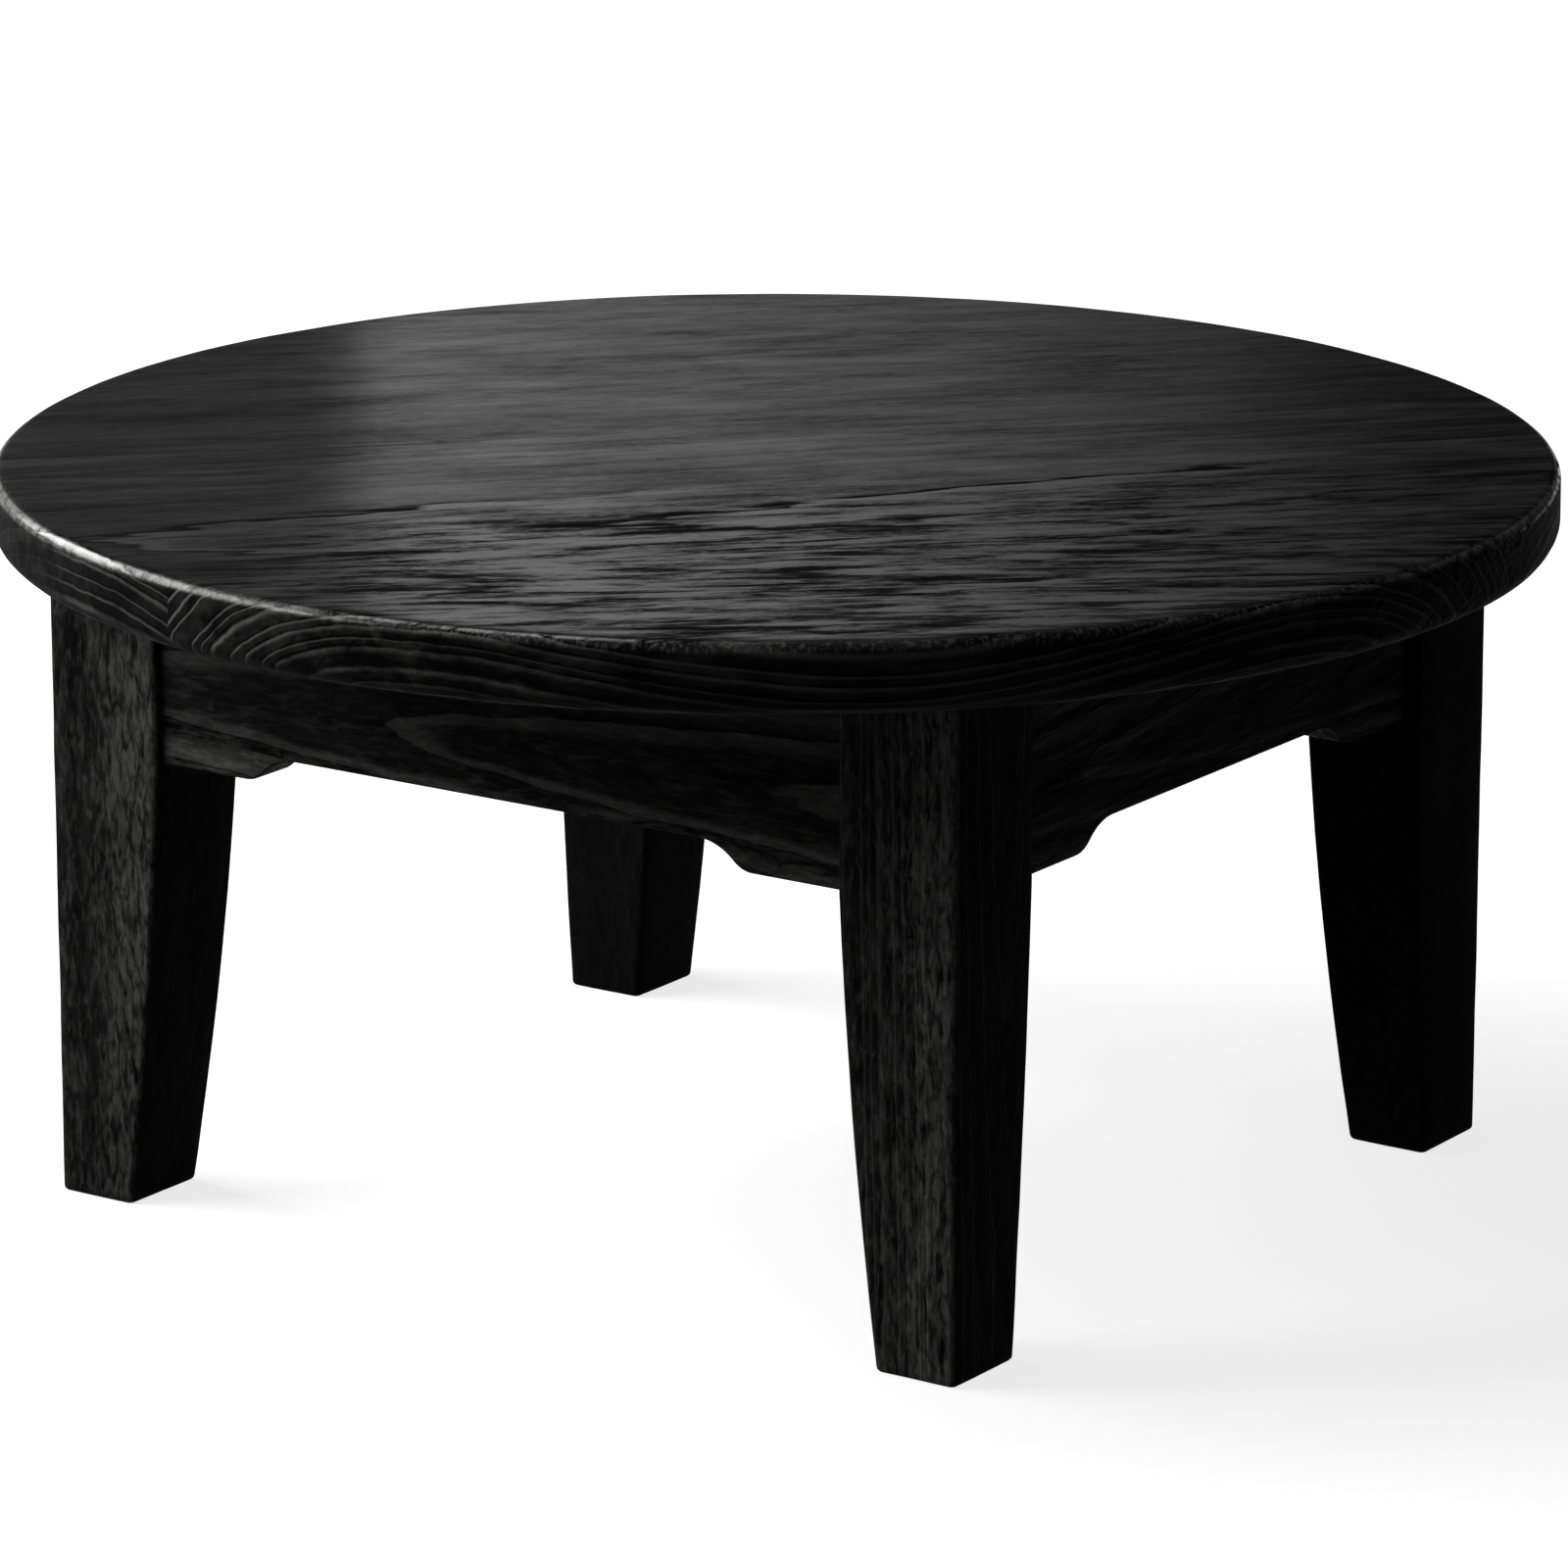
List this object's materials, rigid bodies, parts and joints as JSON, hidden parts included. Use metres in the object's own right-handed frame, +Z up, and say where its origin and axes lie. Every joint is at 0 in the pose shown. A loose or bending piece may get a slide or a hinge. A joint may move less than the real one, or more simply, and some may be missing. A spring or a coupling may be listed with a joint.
{
  "type": "low table",
  "caption": "Round low tea table: an edge-jointed solid top on a tenoned frame with tapered legs, held down by wooden turn buttons.",
  "frame": {"origin": "on the floor, under the middle of the round top", "axes": "+Z up; +X to the right along the longer aprons; +Y away from the viewer along the shorter aprons"},
  "size_m": [0.6, 0.6, 0.285],
  "materials": {
    "top_wood": "open-grained wood stained black, satin, worn lighter along the upper edge",
    "frame_wood": "open-grained wood stained black, satin, with pale flecks rubbed through on the legs",
    "inner_wood": "stained wood, left rough",
    "button_wood": "stained wood, left rough",
    "screw_steel": "dull zinc plate"
  },
  "bodies": {
    "table": {"top_board_front": "top_wood", "top_board_front_middle": "top_wood", "top_board_back_middle": "top_wood", "top_board_back": "top_wood", "top_spline_front": "inner_wood", "top_spline_middle": "inner_wood", "top_spline_back": "inner_wood", "leg_front": "frame_wood", "leg_left": "frame_wood", "leg_right": "frame_wood", "leg_back": "frame_wood", "apron_front": "frame_wood", "apron_right": "frame_wood", "apron_back": "frame_wood", "apron_left": "frame_wood", "corner_brace_front": "inner_wood", "corner_brace_left": "inner_wood", "corner_brace_right": "inner_wood", "corner_brace_back": "inner_wood", "button_screws": "screw_steel", "brace_screws": "screw_steel"},
    "button_front_left": {"turn_button_front_left": "button_wood"},
    "button_front_right": {"turn_button_front_right": "button_wood"},
    "button_right_left": {"turn_button_right_left": "button_wood"},
    "button_right_right": {"turn_button_right_right": "button_wood"},
    "button_back_left": {"turn_button_back_left": "button_wood"},
    "button_back_right": {"turn_button_back_right": "button_wood"},
    "button_left_left": {"turn_button_left_left": "button_wood"},
    "button_left_right": {"turn_button_left_right": "button_wood"}
  },
  "joints": [
    {"name": "button_front_left_turn", "type": "hinge", "parent": "table", "child": "button_front_left", "pos_m": [-0.05, -0.151, 0.249], "axis": [0, 0, 1], "range_deg": [-90, 90]},
    {"name": "button_front_right_turn", "type": "hinge", "parent": "table", "child": "button_front_right", "pos_m": [0.05, -0.151, 0.249], "axis": [0, 0, 1], "range_deg": [-90, 90]},
    {"name": "button_right_left_turn", "type": "hinge", "parent": "table", "child": "button_right_left", "pos_m": [0.166, -0.038, 0.249], "axis": [0, 0, 1], "range_deg": [-90, 90]},
    {"name": "button_right_right_turn", "type": "hinge", "parent": "table", "child": "button_right_right", "pos_m": [0.166, 0.038, 0.249], "axis": [0, 0, 1], "range_deg": [-90, 90]},
    {"name": "button_back_left_turn", "type": "hinge", "parent": "table", "child": "button_back_left", "pos_m": [0.05, 0.151, 0.249], "axis": [0, 0, 1], "range_deg": [-90, 90]},
    {"name": "button_back_right_turn", "type": "hinge", "parent": "table", "child": "button_back_right", "pos_m": [-0.05, 0.151, 0.249], "axis": [0, 0, 1], "range_deg": [-90, 90]},
    {"name": "button_left_left_turn", "type": "hinge", "parent": "table", "child": "button_left_left", "pos_m": [-0.166, 0.038, 0.249], "axis": [0, 0, 1], "range_deg": [-90, 90]},
    {"name": "button_left_right_turn", "type": "hinge", "parent": "table", "child": "button_left_right", "pos_m": [-0.166, -0.038, 0.249], "axis": [0, 0, 1], "range_deg": [-90, 90]}
  ]
}
